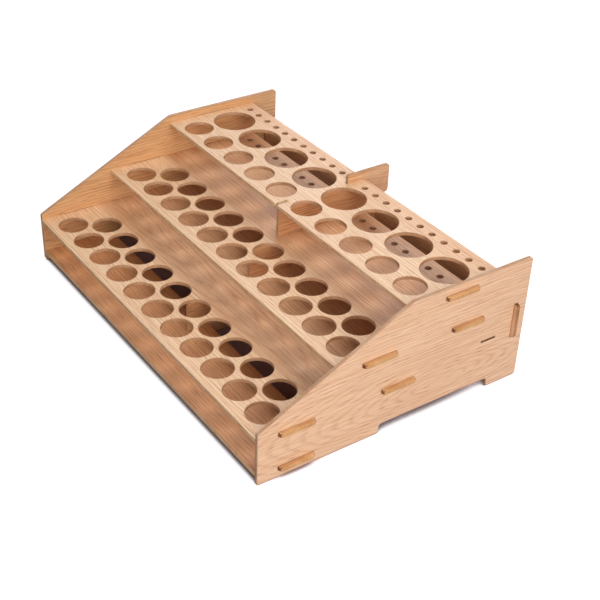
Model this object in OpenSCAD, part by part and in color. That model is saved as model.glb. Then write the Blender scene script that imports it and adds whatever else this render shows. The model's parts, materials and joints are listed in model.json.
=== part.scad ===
// Stepped hobby rack of flat boards joined by tabs and slots, with holes for bottles, jars and brushes.
// Units are millimetres. The low front faces -Y, the height is +Z, and the origin is under the middle.

/* [Boards] */
// Thickness of every board.
board_t = 3; // [2.5:0.1:5]
// How far a tab stands out past the board it goes through.
tab_out = 3.5; // [0:0.1:6]
// Length of a tab along the edge it grows from.
tab_len = 30; // [15:0.5:45]
// Rounding of a tab's two outer corners.
tab_r = 2.4; // [0.2:0.1:2.4]
// Clearance round a tab in its slot, and beside a board in the slot it crosses.
slot_gap = 0.15; // [0.05:0.05:0.4]

/* [Bottle rows] */
// Diameter of a bottle hole.
bottle_d = 25.2; // [15:0.1:40]
// Holes in the front row of the two lower tiers; the row behind has one less.
bottle_n = 11; // [3:1:15]
// Wood between two bottle holes of one row.
bottle_web = 5.05; // [2:0.05:20]
// Wood between a bottle hole and its neighbour in the staggered row behind.
stagger_web = 3.9; // [2:0.1:15]
// Wood between the end of the front row and the side panel.
bottle_end_web = 8.7; // [3:0.05:30]
// Wood between a front row and the edge of its board.
bottle_edge_web = 7.2; // [3:0.1:30]

/* [Top tier rows] */
// Small holes on each side of the rib.
paint_n = 5; // [2:1:8]
// Wood between the two small holes beside the rib.
paint_centre_web = 11; // [7:0.1:60]
// Wood between the small holes and the front edge of the top tier.
paint_edge_web = 4.9; // [3:0.1:30]
// Diameter of a jar hole.
jar_d = 37.1; // [20:0.1:60]
// Jar holes on each side of the rib.
jar_n = 4; // [1:1:6]
// How much more wood there is at the ends of the jar row than between two jar holes.
jar_end_more = 2.35; // [0:0.05:20]
// Diameter of a brush hole, and of the guide hole under it.
brush_d = 5.4; // [2:0.1:15]
// Brush holes on each side of the rib.
brush_n = 11; // [2:1:16]
// Wood between the two brush holes beside the rib.
brush_centre_web = 26.1; // [7:0.1:80]
// Wood between the side panel and the last small hole or brush hole.
top_end_web = 9.95; // [3:0.05:30]
// Least wood between two neighbouring holes of a row of the top tier, which widens the rack where it must.
least_web = 1.5; // [0.5:0.1:5]
// Wood between one row of the top tier and the next.
row_web = 3.9; // [1:0.1:20]
// Wood between the brush holes and the back edge of the top tier.
brush_edge_web = 7.4; // [3:0.1:30]
// Wood between the guide holes and the back edge of the tier below.
guide_edge_web = 8.6; // [3:0.1:30]

/* [Tiers] */
// Height from the top of one tier to the top of the next.
tier_rise = 31; // [20:0.1:60]
// Height of the base board's underside above the table.
base_lift = 6.4; // [1:0.1:20]
// From the last bottle hole of the lowest tier to the front edge of the second.
tier_2_set = 11.2; // [1:0.1:40]
// From the last bottle hole of the second tier to the front edge of the top one.
tier_3_set = 3.7; // [1:0.1:40]
// Wood behind the bottles that stand on the base board.
base_rest = 8.1; // [2:0.1:30]
// Wood behind the bottles that stand on the lowest tier's board.
tier_1_rest = 28.2; // [5:0.1:50]
// Free space between the top tier and the back board.
back_gap = 14.4; // [2:0.1:60]
// Distance from the back board to the back edge of the side panels.
back_inset = 9.2; // [2:0.1:30]

/* [Side panels] */
// Height of a side panel at its front edge, above the lowest tier.
front_lip = 5.3; // [1:0.1:25]
// Height of the side panels above the top tier.
top_lip = 6.8; // [1:0.1:30]
// From the top tier's front edge to the end of the sloping edge.
knee_in = 0.6; // [0:0.1:20]
// Height of the bottom edge between the two feet.
foot_h = 8; // [2:0.1:20]
// Length of the front foot.
front_foot = 107; // [30:1:140]
// Length of the back foot.
back_foot = 31.3; // [15:0.1:80]
// Rounding of the panel's outer corners.
panel_r = 3; // [0.5:0.5:8]
// Rounding at the feet and at the front of the sloping edge.
foot_r = 2; // [0.5:0.5:5]
// Length of the thin slot near the back of each side panel.
relief_len = 13.8; // [5:0.1:30]
// Width of that slot.
relief_w = 1.4; // [0.5:0.1:4]
// Height of that slot above the lowest tier.
relief_rise = 5.4; // [2:0.1:20]
// From that slot to the back board.
relief_back = 16.4; // [5:0.1:60]

/* [Rib and back board] */
// From the lowest tier's front holes to the rib's front edge below that tier.
rib_set_1 = 13.6; // [1:0.1:30]
// From the second tier's front holes to the rib's front edge below that tier.
rib_set_2 = 3.3; // [1:0.1:12]
// From the top tier's front edge to the rib's front edge below it.
rib_set_3 = 2.1; // [0.5:0.1:10]
// Length of the rib's front horn, let into the top tier's front edge.
horn_len = 9; // [3:0.1:20]
// How far the rib's raised part reaches over the top tier.
ear_over = 17.2; // [5:0.1:30]
// Gap in front of the rib's raised part.
ear_gap = 0.8; // [0.2:0.1:3]
// Height of the back board.
back_h = 54.4; // [40:0.1:80]
// Height of the back board's top edge below the top of the rack.
back_drop = 26.4; // [5:0.1:45]
// From the front of the tab to the front edge of the board it grows from, on the lowest tier.
tier_1_tab_in = 17.3; // [5:0.1:40]
// The same on the second tier.
tier_2_tab_in = 18.9; // [5:0.1:40]
// From the back of the top tier's tab to its back edge.
tier_3_tab_in = 27.2; // [5:0.1:50]

/* [Node to draw] */

/* [Hidden] */

$fn = 96;
arc_steps = 6;
panel_col = [0.93, 0.78, 0.63];
rib_col = [0.87, 0.68, 0.48];
tier_col = [0.90, 0.76, 0.61];
base_col = [0.83, 0.68, 0.53];
back_col = [0.76, 0.60, 0.45];

// The free width between the side panels, set by the row that needs most.
bottle_r = bottle_d / 2;
jar_r = jar_d / 2;
brush_r = brush_d / 2;
bottle_pitch = bottle_d + bottle_web;
paint_start = (bottle_d + paint_centre_web) / 2;
brush_start = (brush_d + brush_centre_web) / 2;
bottle_row_w = (bottle_n - 1) * bottle_pitch + bottle_d + 2 * bottle_end_web;
paint_row_w = 2 * (paint_start + (paint_n - 1) * (bottle_d + least_web) + bottle_r + top_end_web);
jar_row_w = 2 * jar_n * jar_d + (2 * jar_n + 1) * least_web + 2 * jar_end_more;
brush_row_w = 2 * (brush_start + (brush_n - 1) * (brush_d + least_web) + brush_r + top_end_web);
inner_w = max(bottle_row_w, paint_row_w, jar_row_w, brush_row_w);
half_w = inner_w / 2;

// The top tier's rows are spread evenly over that width.
paint_pitch = (half_w - top_end_web - bottle_r - paint_start) / (paint_n - 1);
jar_web = (inner_w - 2 * jar_end_more - 2 * jar_n * jar_d) / (2 * jar_n + 1);
jar_pitch = jar_d + jar_web;
brush_pitch = (half_w - top_end_web - brush_r - brush_start) / (brush_n - 1);

// Places of the rows, from the front edge backwards.
row_gap = sqrt(pow(bottle_d + stagger_web, 2) - pow(bottle_pitch / 2, 2));
row_1a_y = bottle_edge_web + bottle_r;
row_1b_y = row_1a_y + row_gap;
tier_2_y = row_1b_y + bottle_r + tier_2_set;
row_2a_y = tier_2_y + bottle_edge_web + bottle_r;
row_2b_y = row_2a_y + row_gap;
tier_3_y = row_2b_y + bottle_r + tier_3_set;
paint_y = tier_3_y + paint_edge_web + bottle_r;
jar_y = paint_y + bottle_r + row_web + jar_r;
brush_y = jar_y + jar_r + row_web + brush_r;

// Back edges of the boards, and the whole depth.
base_back = row_1b_y + bottle_r + base_rest;
tier_1_back = row_2b_y + bottle_r + tier_1_rest;
tier_2_back = brush_y + brush_r + guide_edge_web;
tier_3_back = brush_y + brush_r + brush_edge_web;
back_y = tier_3_back + back_gap;
rack_d = back_y + board_t + back_inset;

// Heights of the boards' undersides, and the whole height.
tier_1_z = base_lift + tier_rise;
tier_2_z = tier_1_z + tier_rise;
tier_3_z = tier_2_z + tier_rise;
rack_h = tier_3_z + board_t + top_lip;
front_h = tier_1_z + board_t + front_lip;
back_top = rack_h - back_drop;
back_tab_z = back_top - (back_h + tab_len) / 2;

// Places of the tabs along the boards' ends.
base_tab_y = (base_back - tab_len) / 2;
tier_1_tab_a = tier_1_tab_in;
tier_1_tab_b = tier_1_back - tier_1_tab_in - tab_len;
tier_2_tab_a = tier_2_y + tier_2_tab_in;
tier_2_tab_b = tier_2_back - tier_2_tab_in - tab_len;
tier_3_tab_y = tier_3_back - tier_3_tab_in - tab_len;

// Places of the rib's edges, and where it and a board each give way half of a crossing.
rib_1_y = row_1a_y + bottle_r + rib_set_1;
rib_2_y = row_2a_y + bottle_r + rib_set_2;
rib_3_y = tier_3_y + rib_set_3;
horn_y = rib_3_y + horn_len;
ear_y = tier_3_back - ear_over;
base_lap = (rib_1_y + base_back) / 2;
tier_1_lap = (rib_2_y + tier_1_back) / 2;
tier_2_lap = (rib_3_y + tier_2_back) / 2;
slot_t = board_t + 2 * slot_gap;
tab_reach = board_t + tab_out;

// The direction of a line, with length 1.
function direction(v) = v / norm(v);

// The points of one rounded corner: b is the corner, a and c its neighbours, and r the rounding.
function corner(a, b, c, r) =
    r == 0 ? [b] :
    let (
        in = direction(a - b),
        out = direction(c - b),
        half = acos(in * out) / 2,
        from = b + in * r / tan(half),
        centre = b + direction(in + out) * r / sin(half),
        start = atan2(from[1] - centre[1], from[0] - centre[0]),
        step = (180 - 2 * half) * sign(in[1] * out[0] - in[0] * out[1]) / arc_steps
    )
    [for (i = [0:arc_steps]) centre + r * [cos(start + step * i), sin(start + step * i)]];

// A closed outline from points [across, up, rounding].
module outline(points) {
    n = len(points);
    flat = [for (p = points) [p[0], p[1]]];
    polygon([
        for (i = [0:n - 1])
            each corner(flat[(i + n - 1) % n], flat[i], flat[(i + 1) % n], points[i][2])
    ]);
}

// Everything is drawn from the front edge backwards, then centred on the origin.
module centred() {
    translate([0, -rack_d / 2, 0]) children();
}

// A board standing fore and aft, from an outline of depth and height.
module upright(x) {
    centred() translate([x, 0, 0]) rotate([90, 0, 90]) linear_extrude(board_t) children();
}

// A level board, from an outline of width and depth.
module level(z) {
    centred() translate([0, 0, z]) linear_extrude(board_t) children();
}

// The four points of a tab at the right end of a board, from y along the end.
function tab_points(y) = [
    [half_w, y, 0],
    [half_w + tab_reach, y, tab_r],
    [half_w + tab_reach, y + tab_len, tab_r],
    [half_w, y + tab_len, 0]
];

// A board's outline between y values, with the same tabs at both ends.
module tabbed(front, back, tabs) {
    right = [for (y = tabs) each tab_points(y)];
    left = [for (i = [len(right) - 1:-1:0]) [-right[i][0], right[i][1], right[i][2]]];
    outline([
        [-half_w, front, 0],
        [half_w, front, 0],
        each right,
        [half_w, back, 0],
        [-half_w, back, 0],
        each left
    ]);
}

// The slot in a level board that the rib passes through, from y to past the back edge.
module rib_slot(y, back) {
    translate([-slot_t / 2, y]) square([slot_t, back - y + board_t]);
}

// A row of holes along X, starting at x, at one place y.
module hole_row(x, y, pitch, n, d) {
    for (i = [0:n - 1]) translate([x + i * pitch, y]) circle(d = d);
}

// Two rows of bottle holes, the second set back half a pitch.
module bottle_holes(front_row_y) {
    first = -(bottle_n - 1) * bottle_pitch / 2;
    hole_row(first, front_row_y, bottle_pitch, bottle_n, bottle_d);
    hole_row(first + bottle_pitch / 2, front_row_y + row_gap, bottle_pitch, bottle_n - 1, bottle_d);
}

// The two rows of brush holes, one on each side of the rib.
module brush_holes() {
    for (side = [0, 1]) mirror([side, 0]) hole_row(brush_start, brush_y, brush_pitch, brush_n, brush_d);
}

// A slot in a side panel for one tab of a level board.
module tab_slot(y, z) {
    translate([y - slot_gap, z - slot_gap]) square([tab_len + 2 * slot_gap, slot_t]);
}

// The side panel's outline with all its slots.
module panel_flat() {
    difference() {
        outline([
            [0, 0, foot_r],
            [front_foot, 0, foot_r],
            [front_foot, foot_h, panel_r],
            [rack_d - back_foot, foot_h, panel_r],
            [rack_d - back_foot, 0, foot_r],
            [rack_d, 0, foot_r],
            [rack_d, rack_h, panel_r],
            [tier_3_y + knee_in, rack_h, panel_r],
            [0, front_h, foot_r]
        ]);
        tab_slot(base_tab_y, base_lift);
        tab_slot(tier_1_tab_a, tier_1_z);
        tab_slot(tier_1_tab_b, tier_1_z);
        tab_slot(tier_2_tab_a, tier_2_z);
        tab_slot(tier_2_tab_b, tier_2_z);
        tab_slot(tier_3_tab_y, tier_3_z);
        translate([back_y - slot_gap, back_tab_z - slot_gap]) square([slot_t, tab_len + 2 * slot_gap]);
        translate([back_y - relief_back - relief_len, tier_1_z + board_t + relief_rise])
            square([relief_len, relief_w]);
    }
}

module side_panel_left() {
    color(panel_col) upright(-half_w - board_t) panel_flat();
}

module side_panel_right() {
    color(panel_col) upright(half_w) panel_flat();
}

// The rib steps back under each tier, crosses three boards at half laps and carries the top tier.
module centre_rib() {
    color(rib_col) upright(-board_t / 2) outline([
        [rib_1_y, 0, foot_r],
        [front_foot, 0, foot_r],
        [front_foot, foot_h, panel_r],
        [rack_d - back_foot, foot_h, panel_r],
        [rack_d - back_foot, 0, foot_r],
        [back_y, 0, 0],
        [back_y, back_tab_z, 0],
        [back_y + tab_reach, back_tab_z, tab_r],
        [back_y + tab_reach, back_tab_z + tab_len, tab_r],
        [back_y, back_tab_z + tab_len, 0],
        [back_y, back_top, 0],
        [rack_d, back_top, panel_r],
        [rack_d, rack_h, panel_r],
        [ear_y, rack_h, foot_r],
        [ear_y, tier_3_z, 0],
        [horn_y, tier_3_z, 0],
        [horn_y, tier_3_z + board_t, 0],
        [rib_3_y, tier_3_z + board_t, 0],
        [rib_3_y, tier_2_z + board_t + slot_gap, 0],
        [tier_2_lap, tier_2_z + board_t + slot_gap, 0],
        [tier_2_lap, tier_2_z, 0],
        [rib_2_y, tier_2_z, 0],
        [rib_2_y, tier_1_z + board_t + slot_gap, 0],
        [tier_1_lap, tier_1_z + board_t + slot_gap, 0],
        [tier_1_lap, tier_1_z, 0],
        [rib_1_y, tier_1_z, 0],
        [rib_1_y, base_lift + board_t + slot_gap, 0],
        [base_lap, base_lift + board_t + slot_gap, 0],
        [base_lap, base_lift, 0],
        [rib_1_y, base_lift, 0]
    ]);
}

module base_board() {
    color(base_col) level(base_lift) difference() {
        tabbed(0, base_back, [base_tab_y]);
        rib_slot(base_lap, base_back);
    }
}

module tier_1_board() {
    color(tier_col) level(tier_1_z) difference() {
        tabbed(0, tier_1_back, [tier_1_tab_a, tier_1_tab_b]);
        bottle_holes(row_1a_y);
        rib_slot(tier_1_lap, tier_1_back);
    }
}

module tier_2_board() {
    color(tier_col) level(tier_2_z) difference() {
        tabbed(tier_2_y, tier_2_back, [tier_2_tab_a, tier_2_tab_b]);
        bottle_holes(row_2a_y);
        brush_holes();
        rib_slot(tier_2_lap, tier_2_back);
    }
}

module tier_3_board() {
    color(tier_col) level(tier_3_z) difference() {
        tabbed(tier_3_y, tier_3_back, [tier_3_tab_y]);
        for (side = [0, 1]) mirror([side, 0]) {
            hole_row(paint_start, paint_y, paint_pitch, paint_n, bottle_d);
            hole_row(jar_pitch / 2, jar_y, jar_pitch, jar_n, jar_d);
        }
        brush_holes();
        translate([-slot_t / 2, tier_3_y - board_t]) square([slot_t, horn_y + slot_gap - tier_3_y + board_t]);
        rib_slot(ear_y - ear_gap, tier_3_back);
    }
}

// The back board hangs between the side panels, and the rib's own tab goes through its middle.
module back_board() {
    color(back_col) centred() translate([0, back_y + board_t, 0]) rotate([90, 0, 0])
        linear_extrude(board_t) difference() {
            tabbed(back_top - back_h, back_top, [back_tab_z]);
            translate([-slot_t / 2, back_tab_z - slot_gap]) square([slot_t, tab_len + 2 * slot_gap]);
        }
}

side_panel_left();
side_panel_right();
centre_rib();
base_board();
tier_1_board();
tier_2_board();
tier_3_board();
back_board();
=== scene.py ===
"""Stepped hobby rack of oak boards, laser cut and pushed together, with its stage and camera.

The rack stands on a white table in soft studio light. Each board is cut again from its CAD node's face,
with finer holes, broken edges and the scorch that the laser leaves, and wears sawn, lightly sanded oak.
"""

import json
import math

import bmesh
import bpy
from mathutils import Matrix, Vector


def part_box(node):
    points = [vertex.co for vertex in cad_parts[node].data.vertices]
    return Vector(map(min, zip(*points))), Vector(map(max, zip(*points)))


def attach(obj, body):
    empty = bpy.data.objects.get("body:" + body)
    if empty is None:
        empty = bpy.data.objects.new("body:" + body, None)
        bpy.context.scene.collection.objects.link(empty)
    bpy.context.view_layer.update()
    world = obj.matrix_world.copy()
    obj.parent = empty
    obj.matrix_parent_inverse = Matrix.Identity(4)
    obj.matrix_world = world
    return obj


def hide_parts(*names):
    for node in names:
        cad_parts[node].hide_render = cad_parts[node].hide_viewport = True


bl_info = {
    "name": "Stepped Hobby Rack",
    "version": (1, 0, 0),
    "blender": (4, 5, 0),
    "location": "3D View > Sidebar > Rack",
    "description": "Builds a stepped oak rack for paint bottles, jars and brushes",
    "category": "Object",
}

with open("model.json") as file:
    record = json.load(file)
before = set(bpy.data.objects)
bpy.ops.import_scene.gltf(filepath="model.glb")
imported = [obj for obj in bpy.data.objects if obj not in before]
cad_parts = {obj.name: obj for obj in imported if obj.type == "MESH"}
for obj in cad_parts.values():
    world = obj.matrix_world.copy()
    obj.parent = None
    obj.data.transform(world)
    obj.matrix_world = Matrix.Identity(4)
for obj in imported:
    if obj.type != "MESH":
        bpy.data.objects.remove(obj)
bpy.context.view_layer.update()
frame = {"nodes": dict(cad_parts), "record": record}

MM = 0.001
TOUCH = 0.001 * MM
X, Y, Z = 0, 1, 2

# Holes of a larger radius than this get rounder. The corners of a CAD hole lie on its true circle, and a new
# corner halfway between two of them lies a little inside it, at more than this share of the radius.
LARGE_HOLE = 5 * MM
WALL_SHARE = 0.97

# Places of a board's materials: its face, the cut round it, the walls of its openings, and its tabs' sides.
FACE, OUTLINE, OPENING, TAB_FLAT, TAB_END, TAB_SIDE = range(6)

# How a Mapping node turns the object's axes so that the grain runs along the pattern's X, across its Y.
LEVEL_GRAIN = (0.0, 0.0, 0.0)
UPRIGHT_GRAIN = (-math.pi / 2, -math.pi / 2, 0.0)
BACK_GRAIN = (-math.pi / 2, 0.0, 0.0)


def linear(hex_colour):
    """Turns an sRGB hex colour into the linear values that Blender shades with."""
    parts = [int(hex_colour[i : i + 2], 16) / 255 for i in (1, 3, 5)]
    return (*[c / 12.92 if c <= 0.04045 else ((c + 0.055) / 1.055) ** 2.4 for c in parts], 1.0)


def swatch(name, description, hex_colour):
    """A colour that a user would change, with its default given as sRGB hex."""
    return bpy.props.FloatVectorProperty(
        name=name,
        description=description,
        default=linear(hex_colour),
        size=4,
        min=0.0,
        max=1.0,
        subtype="COLOR",
    )


class RackColours(bpy.types.PropertyGroup):
    """Colours of the oak that a user would change."""

    right_pale: swatch("Right side, pale", "Palest wood of the right side panel", "#F1CAA4")
    right_mid: swatch("Right side, streaks", "Fibre streaks of the right side panel", "#D69E74")
    right_dark: swatch("Right side, pores", "Pores and scorch of the right side panel", "#A2664A")
    left_pale: swatch("Left side, pale", "Palest wood of the left side panel", "#E2B17D")
    left_mid: swatch("Left side, streaks", "Fibre streaks of the left side panel", "#C0834A")
    left_dark: swatch("Left side, pores", "Pores and scorch of the left side panel", "#8A5428")
    rib_pale: swatch("Rib, pale", "Palest wood of the centre rib", "#E4B688")
    rib_mid: swatch("Rib, streaks", "Fibre streaks of the centre rib", "#BF8453")
    rib_dark: swatch("Rib, pores", "Pores and scorch of the centre rib", "#7E4C28")
    tier_pale: swatch("Tiers, pale", "Palest wood of the three tiers", "#EFCAA1")
    tier_mid: swatch("Tiers, streaks", "Fibre streaks of the three tiers", "#CE9868")
    tier_dark: swatch("Tiers, pores", "Pores and scorch of the three tiers", "#8E5C38")
    # The base board's colours, darker and more orange than the tiers', are partly the board's own tone and
    # partly painted shade, for it lies under the tiers.
    base_pale: swatch("Base, pale", "Palest wood of the base board", "#E6AA72")
    base_mid: swatch("Base, streaks", "Fibre streaks of the base board", "#C27A44")
    base_dark: swatch("Base, pores", "Pores and scorch of the base board", "#7A4628")
    back_pale: swatch("Back, pale", "Palest wood of the back board", "#DDAE80")
    back_mid: swatch("Back, streaks", "Fibre streaks of the back board", "#BC8456")
    back_dark: swatch("Back, pores", "Pores and scorch of the back board", "#7E4E2C")
    # The heartwood colour is also painted shade: it browns the rear of each tier and the rib below the top
    # tier.
    heartwood: swatch("Heartwood", "What the wood's colour is multiplied by in the heartwood", "#F7E9DD")


class RackSettings(bpy.types.PropertyGroup):
    """Sizes of the rack's finish, its lamps and its camera that a user would change."""

    edge_break: bpy.props.FloatProperty(
        name="Edge break",
        description="Width of the fine chamfer along every cut",
        default=0.25 * MM,
        unit="LENGTH",
    )
    edge_scorch: bpy.props.FloatProperty(
        name="Edge scorch",
        description="Width of the browned line on the face beside a cut",
        default=0.5 * MM,
        unit="LENGTH",
    )
    slot_scorch: bpy.props.FloatProperty(
        name="Slot scorch",
        description="Width over which the smoke round each slot of a side panel fades out",
        default=0.9 * MM,
        unit="LENGTH",
    )
    ring_width: bpy.props.FloatProperty(
        name="Growth ring",
        description="Distance between two growth rings of the oak",
        default=2.8 * MM,
        unit="LENGTH",
    )
    fibre_width: bpy.props.FloatProperty(
        name="Fibre streak",
        description="Width of a streak of fibres, drawn coarser than the real 0.2 mm so that it shows",
        default=0.55 * MM,
        unit="LENGTH",
    )
    pore_length: bpy.props.FloatProperty(
        name="Pore length",
        description="Length of the open pores along the grain",
        default=11.0 * MM,
        unit="LENGTH",
    )
    lens: bpy.props.FloatProperty(
        name="Lens",
        description="Focal length of the camera on a sensor 36 mm wide",
        default=71.39,
        unit="CAMERA",
    )
    camera_place: bpy.props.FloatVectorProperty(
        name="Camera place",
        description="Where the camera stands, from the middle of the rack's underside",
        default=(0.6893, -0.4609, 0.5727),
        subtype="XYZ",
        unit="LENGTH",
    )
    camera_turn: bpy.props.FloatVectorProperty(
        name="Camera turn",
        description="How far the camera looks down, turns left and tilts",
        default=(math.radians(34.0), math.radians(54.25), math.radians(2.295)),
        subtype="EULER",
        unit="ROTATION",
    )
    sky_strength: bpy.props.FloatProperty(
        name="Sky strength",
        description="Strength of the even white light from all round",
        default=0.02,
    )
    top_power: bpy.props.FloatProperty(
        name="Top light",
        description="Power of the large soft lamp above the rack",
        default=10.2,
        unit="POWER",
    )
    side_power: bpy.props.FloatProperty(
        name="Side light",
        description="Power of the soft lamp to the right of the rack",
        default=18.5,
        unit="POWER",
    )
    back_power: bpy.props.FloatProperty(
        name="Back light",
        description="Power of the soft lamp behind the rack on the left",
        default=3.2,
        unit="POWER",
    )
    rear_power: bpy.props.FloatProperty(
        name="Rear light",
        description="Power of the small lamp low behind the rack on the left, for its far sides",
        default=8.0,
        unit="POWER",
    )
    front_power: bpy.props.FloatProperty(
        name="Front light",
        description="Power of the soft lamp low in front of the rack",
        default=3.2,
        unit="POWER",
    )


def deselect_all():
    """Leaves nothing selected, in object mode."""
    bpy.ops.object.select_all(action="DESELECT")


def make_active(piece):
    """Selects one object alone and makes it the active one."""
    deselect_all()
    piece.select_set(True)
    bpy.context.view_layer.objects.active = piece


def pick(piece, kind, test):
    """In edit mode, selects only the faces, edges or vertices that pass a test."""
    bpy.ops.mesh.select_all(action="DESELECT")
    bpy.ops.mesh.select_mode(type={"faces": "FACE", "edges": "EDGE", "verts": "VERT"}[kind])
    mesh = bmesh.from_edit_mesh(piece.data)
    for part in getattr(mesh, kind):
        if test(part):
            part.select_set(True)
    mesh.select_flush_mode()
    bmesh.update_edit_mesh(piece.data)


def shift(axis, distance):
    """A move by a distance along one axis."""
    move = Vector((0.0, 0.0, 0.0))
    move[axis] = distance
    return move


def hole_at(point, height):
    """The bore of the record that a point of a level board lies on the wall of, if any."""
    for mount in frame["record"]["mounts"]:
        if mount["kind"] != "bore":
            continue
        place = Vector(mount["pos_m"])
        radius = mount["dims"]["r_mm"] * MM
        reach = mount["dims"]["length_mm"] * MM / 2 + TOUCH
        if abs(height - place.z) > reach:
            continue
        away = math.hypot(point.x - place.x, point.y - place.y)
        if WALL_SHARE * radius < away < radius + 10 * TOUCH:
            return place, radius
    return None


def round_the_holes(piece, height):
    """Gives the large holes of a level board twice the sides, on the true circle."""
    holes = {}
    mesh = bmesh.from_edit_mesh(piece.data)
    mesh.verts.ensure_lookup_table()
    for vert in mesh.verts:
        found = hole_at(vert.co, height)
        if found and found[1] > LARGE_HOLE:
            holes[vert.index] = found
    pick(
        piece,
        "edges",
        lambda e: e.is_boundary and all(v.index in holes for v in e.verts),
    )
    bpy.ops.mesh.subdivide(number_cuts=1)
    mesh = bmesh.from_edit_mesh(piece.data)
    for vert in mesh.verts:
        found = hole_at(vert.co, height)
        if found and found[1] > LARGE_HOLE:
            place, radius = found
            out = Vector((vert.co.x - place.x, vert.co.y - place.y)).normalized() * radius
            vert.co.x = place.x + out.x
            vert.co.y = place.y + out.y
    bmesh.update_edit_mesh(piece.data)


def mark_openings(piece):
    """Sets the attribute opening to 1 round every slot and hole, and to 0 on the board's outline."""
    mesh = bmesh.from_edit_mesh(piece.data)
    opening = mesh.verts.layers.float.new("opening")
    scorch = mesh.verts.layers.float.new("scorch")
    for vert in mesh.verts:
        vert[scorch] = 1.0
    left = {v for v in mesh.verts if v.is_boundary}
    loops = []
    while left:
        loop = [left.pop()]
        for vert in loop:
            for edge in vert.link_edges:
                other = edge.other_vert(vert)
                if edge.is_boundary and other in left:
                    left.remove(other)
                    loop.append(other)
        loops.append(loop)

    def spread(loop):
        """How far a loop reaches along the three axes together."""
        places = [v.co for v in loop]
        return sum(max(p[i] for p in places) - min(p[i] for p in places) for i in range(3))

    outline = max(loops, key=spread)
    for loop in loops:
        for vert in loop:
            vert[opening] = 0.0 if loop is outline else 1.0
    bmesh.update_edit_mesh(piece.data)


def inset_with_scorch(piece, axis, face_height, width, at_outline, at_opening):
    """Insets the flat face and sets how scorched the new line of points is."""
    pick(piece, "faces", lambda f: all(abs(v.co[axis] - face_height) < TOUCH for v in f.verts))
    bpy.ops.mesh.inset(thickness=width, use_boundary=True, use_even_offset=True)
    mesh = bmesh.from_edit_mesh(piece.data)
    opening = mesh.verts.layers.float["opening"]
    scorch = mesh.verts.layers.float["scorch"]
    for vert in mesh.verts:
        if vert.select:
            vert[scorch] = at_opening if vert[opening] > 0.5 else at_outline
    bmesh.update_edit_mesh(piece.data)


def cut_board(name, axis, rings, settings):
    """Cuts a board from its CAD node's face, with broken edges and scorch marks.

    Each ring is a width and how scorched its inner line is, at the outline and at an opening.
    """
    low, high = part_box(name)
    middle = (low[axis] + high[axis]) / 2
    half = (high[axis] - low[axis]) / 2
    piece = bpy.data.objects.new(name + "_wood", frame["nodes"][name].data.copy())
    bpy.context.scene.collection.objects.link(piece)
    piece.data.materials.clear()
    piece.data.transform(Matrix.Translation(shift(axis, -middle)))
    make_active(piece)
    bpy.ops.mesh.customdata_custom_splitnormals_clear()
    bpy.ops.object.mode_set(mode="EDIT")
    bpy.ops.mesh.select_all(action="SELECT")
    bpy.ops.mesh.remove_doubles(threshold=TOUCH)
    pick(piece, "faces", lambda f: any(abs(v.co[axis] - half) > TOUCH for v in f.verts))
    bpy.ops.mesh.delete(type="FACE")
    if axis == Z:
        round_the_holes(piece, middle)
    mark_openings(piece)
    inset_with_scorch(piece, axis, half, settings.edge_break, 1.0, 1.0)
    pick(piece, "edges", lambda e: e.is_boundary)
    bpy.ops.transform.translate(value=shift(axis, -settings.edge_break))
    for width, at_outline, at_opening in rings:
        inset_with_scorch(piece, axis, half, width, at_outline, at_opening)
    pick(piece, "edges", lambda e: e.is_boundary)
    down = shift(axis, settings.edge_break - half)
    bpy.ops.mesh.extrude_edges_move(TRANSFORM_OT_translate={"value": down})
    bpy.ops.object.mode_set(mode="OBJECT")
    other_half = piece.modifiers.new("Other half", "MIRROR")
    other_half.use_axis = [i == axis for i in range(3)]
    other_half.merge_threshold = TOUCH
    bpy.ops.object.modifier_apply(modifier=other_half.name)
    piece.data.transform(Matrix.Translation(shift(axis, middle)))
    bpy.ops.object.mode_set(mode="EDIT")
    bpy.ops.mesh.select_all(action="SELECT")
    bpy.ops.mesh.normals_make_consistent(inside=False)
    bpy.ops.object.mode_set(mode="OBJECT")
    bpy.ops.object.shade_smooth_by_angle(angle=math.radians(25))
    inside = piece.data.attributes["opening"].data
    for face in piece.data.polygons:
        if abs(face.normal[axis]) > 0.99:
            face.material_index = FACE
        elif all(inside[v].value > 0.5 for v in face.vertices):
            face.material_index = OPENING
        else:
            face.material_index = OUTLINE
    return piece


def mark_tabs(piece):
    """Gives the parts of a board's tabs that stand past the side panels their own materials."""
    low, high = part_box("side_panel_right")
    make_active(piece)
    bpy.ops.object.mode_set(mode="EDIT")
    for side in (-1, 1):
        bpy.ops.mesh.select_all(action="SELECT")
        bpy.ops.mesh.bisect(plane_co=(side * high[X], 0, 0), plane_no=(1, 0, 0))
    bpy.ops.object.mode_set(mode="OBJECT")
    for face in piece.data.polygons:
        if abs(face.center[X]) > high[X]:
            if face.material_index == FACE:
                face.material_index = TAB_FLAT
            elif abs(face.normal[X]) > 0.7:
                face.material_index = TAB_END
            else:
                face.material_index = TAB_SIDE


def dress(piece, node, materials):
    """Gives a board its materials and puts it in its node's place."""
    indices = [face.material_index for face in piece.data.polygons]
    for material in materials:
        piece.data.materials.append(material)
    for face, index in zip(piece.data.polygons, indices):
        face.material_index = index
    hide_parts(node)
    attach(piece, "root")


def put(tree, kind, inputs=None, **settings):
    """Adds a node to a tree, with its settings and with its inputs set or linked."""
    node = tree.nodes.new(kind)
    for name, value in settings.items():
        setattr(node, name, value)
    for socket, value in (inputs or {}).items():
        if isinstance(value, bpy.types.NodeSocket):
            tree.links.new(value, node.inputs[socket])
        else:
            node.inputs[socket].default_value = value
    return node


def new_material(name):
    """An empty node material, with its output and its Principled shader."""
    material = bpy.data.materials.new(name)
    material.use_nodes = True
    tree = material.node_tree
    tree.nodes.clear()
    shader = put(tree, "ShaderNodeBsdfPrincipled")
    put(tree, "ShaderNodeOutputMaterial", {"Surface": shader.outputs["BSDF"]})
    return material, tree, shader


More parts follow.
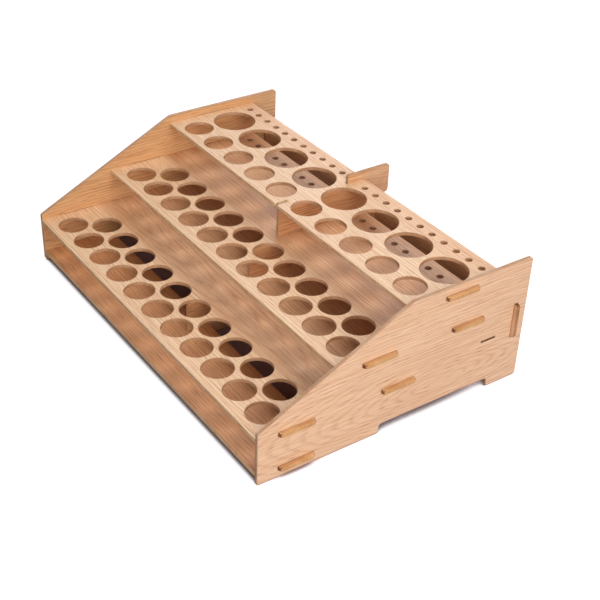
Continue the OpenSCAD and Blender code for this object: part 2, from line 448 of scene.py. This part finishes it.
def calculate(tree, operation, *values, clamp=False):
    """One Math node on one to three values or sockets."""
    return put(
        tree, "ShaderNodeMath", dict(enumerate(values)), operation=operation, use_clamp=clamp
    ).outputs["Value"]


def between(tree, value, low, high, start=0.0, end=1.0):
    """Turns a value that runs from low to high into one that runs from start to end."""
    return put(
        tree,
        "ShaderNodeMapRange",
        {"Value": value, "From Min": low, "From Max": high, "To Min": start, "To Max": end},
    ).outputs["Result"]


def blend(tree, share, colour, other):
    """Mixes two colours, each a socket or linear values."""
    return put(
        tree,
        "ShaderNodeMix",
        {"Factor": share, "A": colour, "B": other},
        data_type="RGBA",
        clamp_factor=True,
    ).outputs["Result"]


def grain_noise(tree, wood_mm, length, width, detail=2.0):
    """Noise drawn out along the grain, of one length along it and one width across it, in mm."""
    stretched = put(
        tree, "ShaderNodeMapping", {"Vector": wood_mm, "Scale": (1 / length, 1 / width, 1 / width)}
    ).outputs["Vector"]
    return put(
        tree, "ShaderNodeTexNoise", {"Vector": stretched, "Scale": 1.0, "Detail": detail}
    ).outputs["Fac"]


def sees_paper(tree):
    """1 for the rays that show the white background: the camera's, mirrored ones and those through glass."""
    path = put(tree, "ShaderNodeLightPath")
    mirrored = calculate(tree, "MAXIMUM", path.outputs["Is Camera Ray"], path.outputs["Is Glossy Ray"])
    return calculate(tree, "MAXIMUM", mirrored, path.outputs["Is Transmission Ray"])


def oak_face(name, board, context, grain, heart, taper, figure, heartwood=None):
    """Plain-sawn oak, sanded and left with a thin satin clear coat.

    The board cuts through growth rings that narrow along the log, so the eye sees straight lines at its sides
    and nested arches near the heart, with fine fibre streaks and short open pores along the grain. A browner
    band, which begins and is full at two places across the grain in mm, is partly heartwood and partly painted
    shade where the boards lie in shade. The heart's place is given along and across the grain in mm, and
    figure is how much the early wood darkens.
    """
    settings = context.scene.rack
    colours = context.scene.rack_colours
    pale, mid, dark = (getattr(colours, board + tone)[:] for tone in ("_pale", "_mid", "_dark"))
    material, tree, shader = new_material(name)
    coordinates = put(tree, "ShaderNodeTexCoord")
    turned = put(
        tree,
        "ShaderNodeMapping",
        {"Vector": coordinates.outputs["Object"], "Rotation": grain, "Scale": (1 / MM,) * 3},
    ).outputs["Vector"]
    wood_mm = put(
        tree, "ShaderNodeMapping", {"Vector": turned, "Location": (-heart[0], -heart[1], 0)}
    ).outputs["Vector"]

    # Growth rings round a heart that lies aslant in the board. Slow waves bend them by up to 7 mm to either
    # side, and fast ones fray them by up to 1.3 mm. The heart is 6 mm deep at its place along the grain.
    parts = put(tree, "ShaderNodeSeparateXYZ", {"Vector": wood_mm})
    bend = 14.0
    fray = 1.3
    heart_depth = 6.0
    slow = grain_noise(tree, wood_mm, 90, 24)
    fast = grain_noise(tree, wood_mm, 34, 1.8, 3.0)
    bent = calculate(tree, "MULTIPLY_ADD", slow, bend, parts.outputs["Y"])
    across = calculate(tree, "ADD", bent, -bend / 2)
    depth = calculate(tree, "MULTIPLY_ADD", parts.outputs["X"], taper, heart_depth)
    across_square = calculate(tree, "MULTIPLY", across, across)
    square = calculate(tree, "MULTIPLY_ADD", depth, depth, across_square)
    frayed = calculate(tree, "MULTIPLY_ADD", fast, fray, calculate(tree, "SQRT", square))
    ring = calculate(tree, "FRACT", calculate(tree, "DIVIDE", frayed, settings.ring_width / MM))

    # A ring begins with porous early wood that fades out by 0.42 of its width, and leads into the next one.
    early = put(tree, "ShaderNodeValToRGB", {"Fac": ring})
    early.color_ramp.elements[0].position = 0.0
    early.color_ramp.elements[0].color = (1, 1, 1, 1)
    early.color_ramp.elements[1].position = 1.0
    early.color_ramp.elements[1].color = (0.5, 0.5, 0.5, 1)
    for position, level in ((0.22, 0.45), (0.42, 0.0), (0.8, 0.0)):
        step = early.color_ramp.elements.new(position)
        step.color = (level, level, level, 1)
    early_wood = early.outputs["Color"]

    # Streaks of fibres half a millimetre wide and 48 mm long, bands 5 mm wide and drifts of tone 30 mm wide.
    fibre = settings.fibre_width / MM
    streaks = grain_noise(tree, wood_mm, 48, fibre, 3.0)
    bands = grain_noise(tree, wood_mm, 90, 5.0, 2.0)
    drift = grain_noise(tree, wood_mm, 110, 30, 1.0)
    share = calculate(
        tree,
        "ADD",
        between(tree, streaks, 0.38, 0.64, 0.0, 0.8),
        between(tree, bands, 0.35, 0.7, -0.07, 0.1),
    )
    share = calculate(tree, "MULTIPLY_ADD", early_wood, figure, share)
    share = calculate(tree, "ADD", share, between(tree, drift, 0.3, 0.7, -0.05, 0.08), clamp=True)
    wood = blend(tree, share, pale, mid)
    # Painted shade, given as heartwood: across a band at the rear of each tier and on the rib below the top
    # tier, where the boards lie in shade, the wood's colour is multiplied browner.
    if heartwood:
        place = put(tree, "ShaderNodeSeparateXYZ", {"Vector": turned}).outputs["Y"]
        wood = put(
            tree,
            "ShaderNodeMix",
            {"Factor": between(tree, place, *heartwood), "A": wood, "B": colours.heartwood[:]},
            data_type="RGBA",
            blend_type="MULTIPLY",
        ).outputs["Result"]

    # Open pores, thickest in the early wood, drawn 0.8 mm wide where real ones are 0.3 mm.
    pore_noise = grain_noise(tree, wood_mm, settings.pore_length / MM, 0.8, 1.0)
    pores = calculate(
        tree,
        "MULTIPLY",
        between(tree, pore_noise, 0.54, 0.66),
        calculate(tree, "MULTIPLY_ADD", early_wood, 0.7, 0.3),
    )
    with_pores = blend(tree, calculate(tree, "MULTIPLY", pores, 0.6), wood, dark)

    # Smoke from the laser browns the face beside each cut.
    scorch = put(tree, "ShaderNodeAttribute", attribute_name="scorch").outputs["Fac"]
    colour = blend(tree, calculate(tree, "MULTIPLY", scorch, 0.3), with_pores, dark)
    tree.links.new(colour, shader.inputs["Base Color"])
    tree.links.new(between(tree, streaks, 0.3, 0.7, 0.42, 0.58), shader.inputs["Roughness"])
    bump = put(
        tree,
        "ShaderNodeBump",
        {
            "Height": calculate(tree, "MULTIPLY_ADD", pores, -1.0, streaks),
            "Strength": 0.35,
            "Distance": 0.08 * MM,
        },
    ).outputs["Normal"]
    tree.links.new(bump, shader.inputs["Normal"])
    shader.inputs["IOR"].default_value = 1.6
    shader.inputs["Specular IOR Level"].default_value = 0.9
    return material


def laser_edge(name, through, pale, dark):
    """Oak board cut by a laser and wiped clean.

    The cut is lightly toasted and matt, with fine lines through the board where the beam stepped along and
    patches where it lingered and burnt more. The lines are 0.8 mm wide, coarser than the real 0.2 mm, so that
    they show, and the patches are 14 mm wide.
    """
    material, tree, shader = new_material(name)
    coordinates = put(tree, "ShaderNodeTexCoord").outputs["Object"]
    scale = [1 / (0.8 * MM)] * 3
    scale[through] = 1 / (9 * MM)
    stretched = put(
        tree, "ShaderNodeMapping", {"Vector": coordinates, "Scale": scale}
    ).outputs["Vector"]
    lines = put(
        tree, "ShaderNodeTexNoise", {"Vector": stretched, "Scale": 1.0, "Detail": 2.0}
    ).outputs["Fac"]
    patches = put(
        tree,
        "ShaderNodeTexNoise",
        {"Vector": coordinates, "Scale": 1 / (14 * MM), "Detail": 2.0},
    ).outputs["Fac"]
    both = calculate(tree, "MULTIPLY_ADD", lines, 0.6, patches)
    colour = blend(tree, between(tree, both, 0.5, 1.1), linear(pale), linear(dark))
    tree.links.new(colour, shader.inputs["Base Color"])
    tree.links.new(between(tree, lines, 0.3, 0.7, 0.7, 0.9), shader.inputs["Roughness"])
    bump = put(
        tree, "ShaderNodeBump", {"Height": lines, "Strength": 0.4, "Distance": 0.06 * MM}
    ).outputs["Normal"]
    tree.links.new(bump, shader.inputs["Normal"])
    return material


def paper_white():
    """Seamless paper, matt white.

    The camera sees it as paper white wherever it lies open to the sky, and in its own shade under the rack. It
    reflects less than real paper, so that it adds little light to the rack from below.
    """
    material, tree, shader = new_material("seamless_white_paper")
    seen = sees_paper(tree)
    tree.links.new(
        blend(tree, seen, linear("#6A625C"), linear("#9C8486")), shader.inputs["Base Color"]
    )

    # With up to 0.32 of the sky open within 120 mm the paper is in full shade, and from 0.5 it is white.
    open_sky = put(tree, "ShaderNodeAmbientOcclusion", {"Distance": 120 * MM}, samples=24).outputs["AO"]
    lit = between(tree, open_sky, 0.32, 0.5, 0.0, 0.95)
    tree.links.new(calculate(tree, "MULTIPLY", seen, lit), shader.inputs["Emission Strength"])
    shader.inputs["Emission Color"].default_value = (1.0, 1.0, 1.0, 1.0)
    shader.inputs["Roughness"].default_value = 1.0
    shader.inputs["Specular IOR Level"].default_value = 0.0
    return material


class RACK_OT_side_panels(bpy.types.Operator):
    """Cut the two stepped side panels, with a smoke mark round each slot"""

    bl_idname = "rack.side_panels"
    bl_label = "Side panels"

    def execute(self, context):
        settings = context.scene.rack
        rings = ((settings.slot_scorch, 0.0, 0.0),)
        edge = laser_edge("laser_cut_side_edge", X, "#D0AA8C", "#B0825E")
        slot = laser_edge("laser_cut_slot", X, "#A9764C", "#7A4C2C")
        right = oak_face("oak_right_side", "right", context, UPRIGHT_GRAIN, (70, 26), 0.2, 0.38)
        left = oak_face("oak_left_side", "left", context, UPRIGHT_GRAIN, (60, 24), 0.12, 0.38)
        for node, face in (("side_panel_right", right), ("side_panel_left", left)):
            panel = cut_board(node, X, rings, settings)
            dress(panel, node, (face, edge, slot))
        return {"FINISHED"}


class RACK_OT_centre_rib(bpy.types.Operator):
    """Cut the upright rib that crosses the boards in the middle"""

    bl_idname = "rack.centre_rib"
    bl_label = "Centre rib"

    def execute(self, context):
        settings = context.scene.rack
        rib = cut_board("centre_rib", X, ((settings.edge_scorch, 0.0, 0.0),), settings)
        # The rib turns browner from 101 mm down to 95 mm above the underside and stays so below: painted shade
        # under the top tier, given as heartwood.
        face = oak_face("oak_rib", "rib", context, UPRIGHT_GRAIN, (10, 30), 0.16, 0.4, (101, 95))
        edge = laser_edge("laser_cut_rib_edge", X, "#CFA583", "#A87850")
        dress(rib, "centre_rib", (face, edge, edge))
        return {"FINISHED"}


class RACK_OT_level_boards(bpy.types.Operator):
    """Cut the base board and the three tiers with their holes"""

    bl_idname = "rack.level_boards"
    bl_label = "Base board and tiers"

    def execute(self, context):
        settings = context.scene.rack
        edge = laser_edge("laser_cut_tier_edge", Z, "#EFCCA4", "#CF9E72")
        wall = laser_edge("laser_cut_hole", Z, "#CBA07C", "#A0714A")
        tab = laser_edge("laser_cut_tab_end", Z, "#E0B07C", "#BE844E")
        tab_side = laser_edge("laser_cut_tab_side", Z, "#8E5C38", "#5E3A22")

        # Each board's colours, its heart's place in mm, its taper, and the start and full place of its browner
        # band, which is partly heartwood and partly painted shade.
        logs = {
            "base_board": ("base", (-40, -190), 0.05, None),
            "tier_1_board": ("tier", (-170, -50), 0.08, (-68, -62)),
            "tier_2_board": ("tier", (-60, -95), 0.05, (1, 6)),
            "tier_3_board": ("tier", (120, 140), 0.045, (60, 88)),
        }
        for node, (tones, heart, taper, heartwood) in logs.items():
            board = cut_board(node, Z, ((settings.edge_scorch, 0.0, 0.0),), settings)
            mark_tabs(board)
            face = oak_face("oak_" + node, tones, context, LEVEL_GRAIN, heart, taper, 0.35, heartwood)
            dress(board, node, (face, edge, wall, tab, tab, tab_side))
        return {"FINISHED"}


class RACK_OT_back_board(bpy.types.Operator):
    """Cut the board behind the rib"""

    bl_idname = "rack.back_board"
    bl_label = "Back board"

    def execute(self, context):
        settings = context.scene.rack
        board = cut_board("back_board", Y, ((settings.edge_scorch, 0.0, 0.0),), settings)
        mark_tabs(board)
        face = oak_face("oak_back_board", "back", context, BACK_GRAIN, (30, 50), 0.05, 0.4)
        edge = laser_edge("laser_cut_back_edge", Y, "#D2AA8A", "#B4835C")
        tab = laser_edge("laser_cut_back_tab", Y, "#EFC6A2", "#CF9C74")
        tab_end = laser_edge("laser_cut_back_tab_end", Y, "#C08C62", "#99673F")
        tab_side = laser_edge("laser_cut_back_tab_side", Y, "#8E5C38", "#5E3A22")
        dress(board, "back_board", (face, edge, edge, tab, tab_end, tab_side))
        return {"FINISHED"}


class RACK_OT_stage(bpy.types.Operator):
    """Set the white table, the soft light and the camera"""

    bl_idname = "rack.stage"
    bl_label = "Table, light and camera"

    def execute(self, context):
        settings = context.scene.rack
        deselect_all()
        bpy.ops.mesh.primitive_plane_add(size=12.0, location=(0.0, 0.0, -0.2 * MM))
        table = context.active_object
        table.name = "table_top"
        bpy.ops.object.transform_apply(location=True, rotation=True, scale=True)
        table.data.materials.append(paper_white())

        world = bpy.data.worlds.new("studio")
        context.scene.world = world
        world.use_nodes = True
        tree = world.node_tree
        tree.nodes.clear()
        strength = between(tree, sees_paper(tree), 0.0, 1.0, settings.sky_strength, 1.0)
        sky = put(
            tree, "ShaderNodeBackground", {"Color": (1.0, 1.0, 1.0, 1.0), "Strength": strength}
        ).outputs["Background"]
        put(tree, "ShaderNodeOutputWorld", {"Surface": sky})

        # Each lamp's name, place and width in metres, and power. They all look at the rack's lower middle.
        target = Vector((0.0, 0.0, 0.05))
        lamps = (
            ("top_light", (0.0, 0.3, 1.37), 1.0, settings.top_power),
            ("side_light", (1.35, -0.3, 0.6), 1.1, settings.side_power),
            ("back_light", (-0.9, 0.9, 1.0), 1.0, settings.back_power),
            ("rear_light", (-1.2, 1.0, 0.12), 0.4, settings.rear_power),
            ("front_light", (0.2, -1.25, 0.45), 0.9, settings.front_power),
        )
        for name, place, size, power in lamps:
            bpy.ops.object.light_add(type="AREA", location=place)
            lamp = context.active_object
            lamp.name = name
            lamp.data.shape = "DISK"
            lamp.data.size = size
            lamp.data.energy = power
            lamp.rotation_euler = (target - lamp.location).to_track_quat("-Z", "Y").to_euler()

        down, left, tilt = settings.camera_turn
        bpy.ops.object.camera_add(location=settings.camera_place)
        camera = context.active_object
        camera.name = "photo_camera"
        camera.data.lens = settings.lens
        camera.data.sensor_width = 36.0
        camera.data.clip_start = 0.01
        turn = (
            Matrix.Rotation(left, 3, "Z")
            @ Matrix.Rotation(math.pi / 2 - down, 3, "X")
            @ Matrix.Rotation(tilt, 3, "Z")
        )
        camera.rotation_euler = turn.to_euler()
        context.scene.camera = camera
        return {"FINISHED"}


class RACK_PT_panel(bpy.types.Panel):
    """Lists the rack's settings and colours and the steps that build it"""

    bl_label = "Stepped Hobby Rack"
    bl_idname = "RACK_PT_panel"
    bl_space_type = "VIEW_3D"
    bl_region_type = "UI"
    bl_category = "Rack"

    def draw(self, context):
        for name in RackSettings.__annotations__:
            self.layout.prop(context.scene.rack, name)
        for name in RackColours.__annotations__:
            self.layout.prop(context.scene.rack_colours, name)
        for step in STEPS:
            self.layout.operator(step.bl_idname)


STEPS = (
    RACK_OT_side_panels,
    RACK_OT_centre_rib,
    RACK_OT_level_boards,
    RACK_OT_back_board,
    RACK_OT_stage,
)
CLASSES = (RackSettings, RackColours, *STEPS, RACK_PT_panel)


def register():
    """Adds the classes and puts the settings and the colours on the scene."""
    for cls in CLASSES:
        bpy.utils.register_class(cls)
    bpy.types.Scene.rack = bpy.props.PointerProperty(type=RackSettings)
    bpy.types.Scene.rack_colours = bpy.props.PointerProperty(type=RackColours)


def unregister():
    """Takes the settings, the colours and the classes away again."""
    del bpy.types.Scene.rack_colours
    del bpy.types.Scene.rack
    for cls in reversed(CLASSES):
        bpy.utils.unregister_class(cls)


def main():
    """Builds the rack and its stage."""
    register()
    deselect_all()
    bpy.context.scene.view_settings.view_transform = "Standard"
    bpy.ops.rack.side_panels()
    bpy.ops.rack.centre_rib()
    bpy.ops.rack.level_boards()
    bpy.ops.rack.back_board()
    bpy.ops.rack.stage()


if __name__ == "__main__":
    main()
